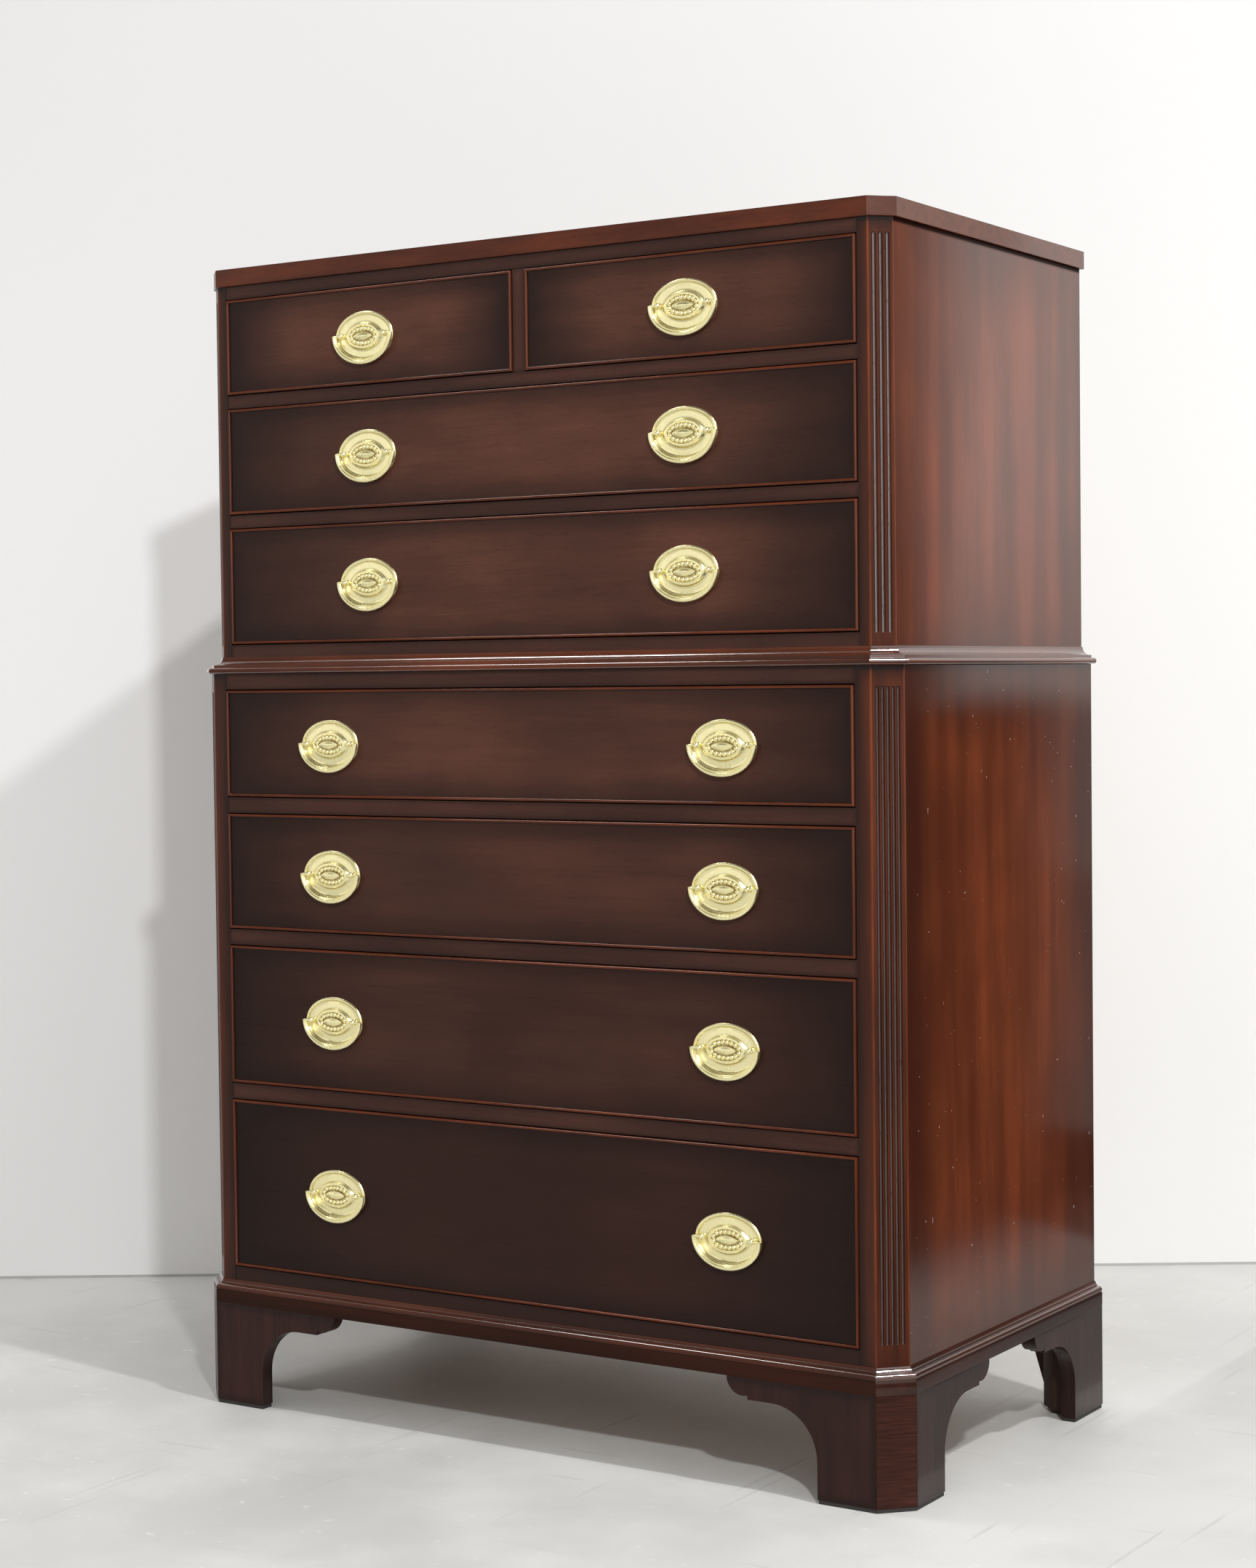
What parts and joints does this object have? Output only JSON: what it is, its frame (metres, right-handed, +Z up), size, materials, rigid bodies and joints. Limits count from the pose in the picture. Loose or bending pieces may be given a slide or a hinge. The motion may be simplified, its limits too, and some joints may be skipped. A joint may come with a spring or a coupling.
{
  "type": "chest on chest",
  "caption": "Tall two-stage chest of drawers on bracket feet, with canted fluted corners, beaded drawers and oval brass bail pulls.",
  "frame": {"origin": "on the floor, below the middle of the whole chest's box", "axes": "+Z up; -Y towards the viewer, the way the drawers open; +X to the right as seen from the front"},
  "size_m": [1.0004, 0.5396, 1.42],
  "materials": {
    "mahogany": "dark polished mahogany, straight grain, worn at the edges",
    "fluted_corner_mahogany": "polished mahogany, redder, with dark flutes",
    "drawer_lining": "bare aged lining wood",
    "inner_softwood": "bare aged softwood",
    "brass": "polished pale brass",
    "black_pad": "dull black"
  },
  "bodies": {
    "case": {"top_board": "mahogany", "upper_side_left": "mahogany", "upper_side_right": "mahogany", "upper_corner_left": "fluted_corner_mahogany", "upper_corner_right": "fluted_corner_mahogany", "upper_rails": "mahogany", "upper_runners": "inner_softwood", "waist_moulding": "mahogany", "lower_side_left": "mahogany", "lower_side_right": "mahogany", "lower_corner_left": "fluted_corner_mahogany", "lower_corner_right": "fluted_corner_mahogany", "lower_rails": "mahogany", "lower_runners": "inner_softwood", "case_bottoms": "inner_softwood", "back_boards": "inner_softwood", "base_moulding": "mahogany", "front_foot_left": "mahogany", "front_foot_right": "mahogany", "rear_foot_left": "mahogany", "rear_foot_right": "mahogany", "foot_pads": "black_pad"},
    "drawer_1": {"drawer_1_front": "mahogany", "drawer_1_box": "drawer_lining", "drawer_1_plates": "brass"},
    "drawer_2": {"drawer_2_front": "mahogany", "drawer_2_box": "drawer_lining", "drawer_2_plates": "brass"},
    "drawer_3": {"drawer_3_front": "mahogany", "drawer_3_box": "drawer_lining", "drawer_3_plates": "brass"},
    "drawer_4": {"drawer_4_front": "mahogany", "drawer_4_box": "drawer_lining", "drawer_4_plates": "brass"},
    "drawer_5": {"drawer_5_front": "mahogany", "drawer_5_box": "drawer_lining", "drawer_5_plates": "brass"},
    "drawer_6": {"drawer_6_front": "mahogany", "drawer_6_box": "drawer_lining", "drawer_6_plates": "brass"},
    "drawer_7": {"drawer_7_front": "mahogany", "drawer_7_box": "drawer_lining", "drawer_7_plates": "brass"},
    "drawer_8": {"drawer_8_front": "mahogany", "drawer_8_box": "drawer_lining", "drawer_8_plates": "brass"},
    "bail_1": {"bail_1": "brass"},
    "bail_2": {"bail_2": "brass"},
    "bail_3_left": {"bail_3_left": "brass"},
    "bail_3_right": {"bail_3_right": "brass"},
    "bail_4_left": {"bail_4_left": "brass"},
    "bail_4_right": {"bail_4_right": "brass"},
    "bail_5_left": {"bail_5_left": "brass"},
    "bail_5_right": {"bail_5_right": "brass"},
    "bail_6_left": {"bail_6_left": "brass"},
    "bail_6_right": {"bail_6_right": "brass"},
    "bail_7_left": {"bail_7_left": "brass"},
    "bail_7_right": {"bail_7_right": "brass"},
    "bail_8_left": {"bail_8_left": "brass"},
    "bail_8_right": {"bail_8_right": "brass"}
  },
  "joints": [
    {"name": "drawer_1_slide", "type": "slide", "parent": "case", "child": "drawer_1", "axis": [0, -1, 0], "range_m": [0, 0.34]},
    {"name": "drawer_2_slide", "type": "slide", "parent": "case", "child": "drawer_2", "axis": [0, -1, 0], "range_m": [0, 0.34]},
    {"name": "drawer_3_slide", "type": "slide", "parent": "case", "child": "drawer_3", "axis": [0, -1, 0], "range_m": [0, 0.34]},
    {"name": "drawer_4_slide", "type": "slide", "parent": "case", "child": "drawer_4", "axis": [0, -1, 0], "range_m": [0, 0.34]},
    {"name": "drawer_5_slide", "type": "slide", "parent": "case", "child": "drawer_5", "axis": [0, -1, 0], "range_m": [0, 0.35]},
    {"name": "drawer_6_slide", "type": "slide", "parent": "case", "child": "drawer_6", "axis": [0, -1, 0], "range_m": [0, 0.35]},
    {"name": "drawer_7_slide", "type": "slide", "parent": "case", "child": "drawer_7", "axis": [0, -1, 0], "range_m": [0, 0.35]},
    {"name": "drawer_8_slide", "type": "slide", "parent": "case", "child": "drawer_8", "axis": [0, -1, 0], "range_m": [0, 0.35]},
    {"name": "bail_1_swing", "type": "hinge", "parent": "drawer_1", "child": "bail_1", "pos_m": [-0.22615, -0.25315, 1.32275], "axis": [-1, 0, 0], "range_deg": [0, 170]},
    {"name": "bail_2_swing", "type": "hinge", "parent": "drawer_2", "child": "bail_2", "pos_m": [0.22615, -0.25315, 1.32275], "axis": [-1, 0, 0], "range_deg": [0, 170]},
    {"name": "bail_3_left_swing", "type": "hinge", "parent": "drawer_3", "child": "bail_3_left", "pos_m": [-0.2246, -0.25315, 1.18085], "axis": [-1, 0, 0], "range_deg": [0, 170]},
    {"name": "bail_3_right_swing", "type": "hinge", "parent": "drawer_3", "child": "bail_3_right", "pos_m": [0.2246, -0.25315, 1.18085], "axis": [-1, 0, 0], "range_deg": [0, 170]},
    {"name": "bail_4_left_swing", "type": "hinge", "parent": "drawer_4", "child": "bail_4_left", "pos_m": [-0.2246, -0.25315, 1.02585], "axis": [-1, 0, 0], "range_deg": [0, 170]},
    {"name": "bail_4_right_swing", "type": "hinge", "parent": "drawer_4", "child": "bail_4_right", "pos_m": [0.2246, -0.25315, 1.02585], "axis": [-1, 0, 0], "range_deg": [0, 170]},
    {"name": "bail_5_left_swing", "type": "hinge", "parent": "drawer_5", "child": "bail_5_left", "pos_m": [-0.2786, -0.26565, 0.8308], "axis": [-1, 0, 0], "range_deg": [0, 170]},
    {"name": "bail_5_right_swing", "type": "hinge", "parent": "drawer_5", "child": "bail_5_right", "pos_m": [0.2786, -0.26565, 0.8308], "axis": [-1, 0, 0], "range_deg": [0, 170]},
    {"name": "bail_6_left_swing", "type": "hinge", "parent": "drawer_6", "child": "bail_6_left", "pos_m": [-0.2786, -0.26565, 0.6716], "axis": [-1, 0, 0], "range_deg": [0, 170]},
    {"name": "bail_6_right_swing", "type": "hinge", "parent": "drawer_6", "child": "bail_6_right", "pos_m": [0.2786, -0.26565, 0.6716], "axis": [-1, 0, 0], "range_deg": [0, 170]},
    {"name": "bail_7_left_swing", "type": "hinge", "parent": "drawer_7", "child": "bail_7_left", "pos_m": [-0.2786, -0.26565, 0.49245], "axis": [-1, 0, 0], "range_deg": [0, 170]},
    {"name": "bail_7_right_swing", "type": "hinge", "parent": "drawer_7", "child": "bail_7_right", "pos_m": [0.2786, -0.26565, 0.49245], "axis": [-1, 0, 0], "range_deg": [0, 170]},
    {"name": "bail_8_left_swing", "type": "hinge", "parent": "drawer_8", "child": "bail_8_left", "pos_m": [-0.2786, -0.26565, 0.2799], "axis": [-1, 0, 0], "range_deg": [0, 170]},
    {"name": "bail_8_right_swing", "type": "hinge", "parent": "drawer_8", "child": "bail_8_right", "pos_m": [0.2786, -0.26565, 0.2799], "axis": [-1, 0, 0], "range_deg": [0, 170]}
  ]
}
